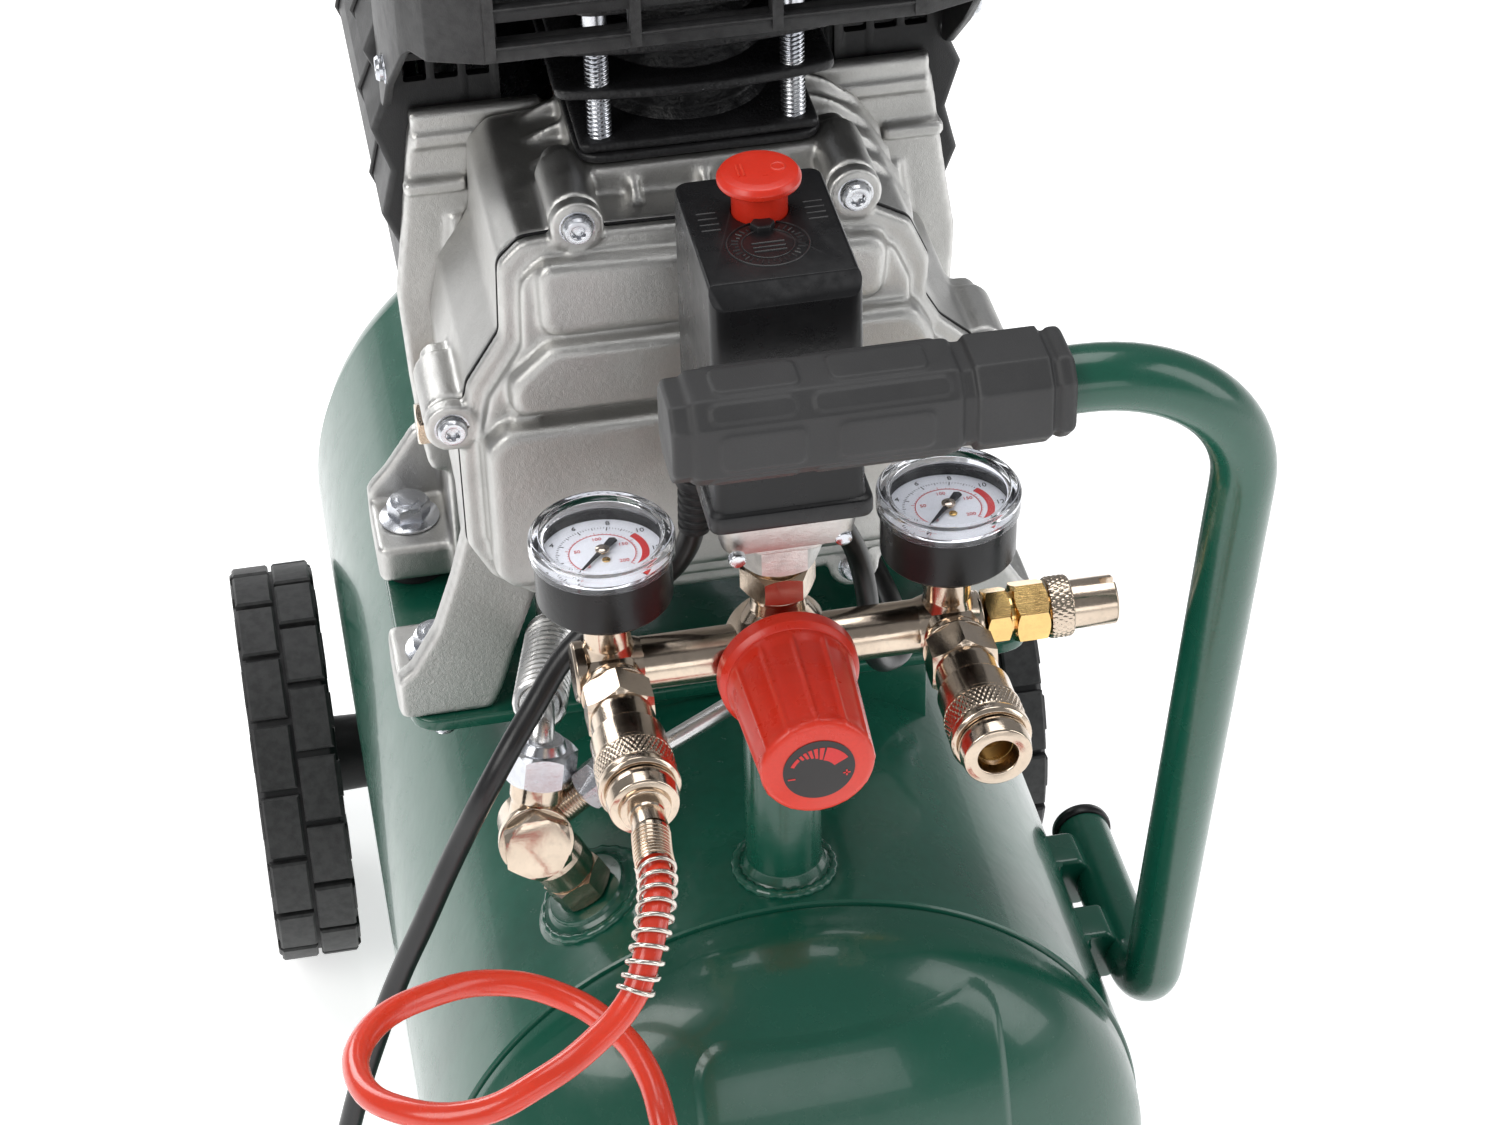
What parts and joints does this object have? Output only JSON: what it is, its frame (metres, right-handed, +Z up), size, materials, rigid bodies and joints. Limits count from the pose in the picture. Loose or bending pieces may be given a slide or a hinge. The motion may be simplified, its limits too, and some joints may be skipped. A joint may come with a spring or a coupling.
{
  "type": "air compressor",
  "caption": "Piston air compressor on a horizontal green tank, with a carrying handle, wheels, a pressure switch, a regulator, gauges, quick couplings, an air hose and a mains lead.",
  "frame": {"origin": "on the floor, under the middle of the machine without its cords", "axes": "+Z up, +X to the right of somebody who faces the gauges, +Y towards the wheels"},
  "size_m": [0.4857, 0.816, 0.612],
  "materials": {
    "green_paint": "glossy",
    "cast_aluminium": "satin, shot blasted casting",
    "zinc_steel": "zinc plated",
    "nickel": "nickel plated brass",
    "brass": "machined",
    "black_iron": "rough black paint",
    "black_plastic": "semi-gloss",
    "black_rubber": "matt",
    "red_plastic": "glossy",
    "red_hose": "glossy polyurethane",
    "clear_lens": "clear"
  },
  "bodies": {
    "base": {"tank": "green_paint", "manifold_post": "green_paint", "saddle_plate": "green_paint", "wheel_bracket_left": "green_paint", "wheel_bracket_right": "green_paint", "handle_tube": "green_paint", "crankcase": "cast_aluminium", "crankcase_cover": "cast_aluminium", "end_shield": "cast_aluminium", "cylinder_head": "cast_aluminium", "rear_shield": "cast_aluminium", "switch_base": "cast_aluminium", "discharge_tube": "cast_aluminium", "unloader_tube": "cast_aluminium", "oil_plug": "zinc_steel", "valve_plate": "zinc_steel", "cylinder_stud_left": "zinc_steel", "cylinder_stud_right": "zinc_steel", "stator": "zinc_steel", "check_valve": "nickel", "manifold": "nickel", "coupling_body_left": "nickel", "coupling_body_right": "nickel", "hose_plug": "nickel", "hose_end_fitting": "nickel", "safety_valve_body": "brass", "drain_valve_body": "brass", "cylinder": "black_iron", "handle_end_cap": "black_plastic", "head_shroud": "black_plastic", "motor_hood": "black_plastic", "gauge_case_left": "black_plastic", "gauge_case_right": "black_plastic", "switch_cover": "black_plastic", "mains_lead": "black_plastic", "mains_coil": "black_plastic", "mains_plug": "black_plastic", "motor_lead": "black_plastic", "lead_gland": "black_plastic", "front_foot": "black_rubber", "handle_grip": "black_rubber", "hose": "red_hose", "hose_coil": "red_hose", "gauge_lens_left": "clear_lens", "gauge_lens_right": "clear_lens"},
    "wheel_left": {"wheel_left": "black_rubber"},
    "wheel_right": {"wheel_right": "black_rubber"},
    "crank_train": {"crankshaft": "zinc_steel", "rotor": "zinc_steel", "cooling_fan": "black_plastic"},
    "piston_group": {"piston": "cast_aluminium", "connecting_rod": "cast_aluminium"},
    "regulator_knob": {"regulator_knob": "red_plastic"},
    "gauge_pointer_left": {"gauge_pointer_left": "black_plastic"},
    "gauge_pointer_right": {"gauge_pointer_right": "black_plastic"},
    "coupling_sleeve_left": {"coupling_sleeve_left": "nickel"},
    "coupling_sleeve_right": {"coupling_sleeve_right": "nickel"},
    "safety_valve_cap": {"safety_valve_cap": "nickel"},
    "drain_valve_knob": {"drain_valve_knob": "brass"},
    "switch_knob": {"switch_knob": "red_plastic"}
  },
  "joints": [
    {"name": "wheel_left_spin", "type": "hinge", "parent": "base", "child": "wheel_left", "pos_m": [-0.144, 0.1548, 0.0826], "axis": [1, 0, 0], "continuous": true},
    {"name": "wheel_right_spin", "type": "hinge", "parent": "base", "child": "wheel_right", "pos_m": [0.144, 0.1548, 0.0826], "axis": [1, 0, 0], "continuous": true},
    {"name": "motor_spin", "type": "hinge", "parent": "base", "child": "crank_train", "pos_m": [0, 0.0388, 0.425], "axis": [0, 1, 0], "continuous": true},
    {"name": "piston_stroke", "type": "slide", "parent": "base", "child": "piston_group", "axis": [0, 0, 1], "range_m": [-0.038, 0]},
    {"name": "regulator_turn", "type": "hinge", "parent": "base", "child": "regulator_knob", "pos_m": [0.003, -0.2122, 0.3792], "axis": [0, -1, 0], "range_deg": [-720, 720]},
    {"name": "gauge_left_reading", "type": "hinge", "parent": "base", "child": "gauge_pointer_left", "pos_m": [-0.0493, -0.1772, 0.423], "axis": [0, 0, -1], "range_deg": [0, 270]},
    {"name": "gauge_right_reading", "type": "hinge", "parent": "base", "child": "gauge_pointer_right", "pos_m": [0.0552, -0.1772, 0.423], "axis": [0, 0, -1], "range_deg": [0, 270]},
    {"name": "coupling_left_release", "type": "slide", "parent": "base", "child": "coupling_sleeve_left", "axis": [0, 1, 0], "range_m": [0, 0.0045], "stiffness_N_per_m": 600},
    {"name": "coupling_right_release", "type": "slide", "parent": "base", "child": "coupling_sleeve_right", "axis": [0, 1, 0], "range_m": [0, 0.0045], "stiffness_N_per_m": 600},
    {"name": "safety_valve_vent", "type": "hinge", "parent": "base", "child": "safety_valve_cap", "pos_m": [0.095, -0.1772, 0.3792], "axis": [1, 0, 0], "range_deg": [0, 360]},
    {"name": "drain_valve_turn", "type": "hinge", "parent": "base", "child": "drain_valve_knob", "pos_m": [0, 0.0228, 0.025], "axis": [0, 0, 1], "range_deg": [0, 360]},
    {"name": "switch_push", "type": "slide", "parent": "base", "child": "switch_knob", "axis": [0, 0, 1], "range_m": [-0.0055, 0]}
  ]
}
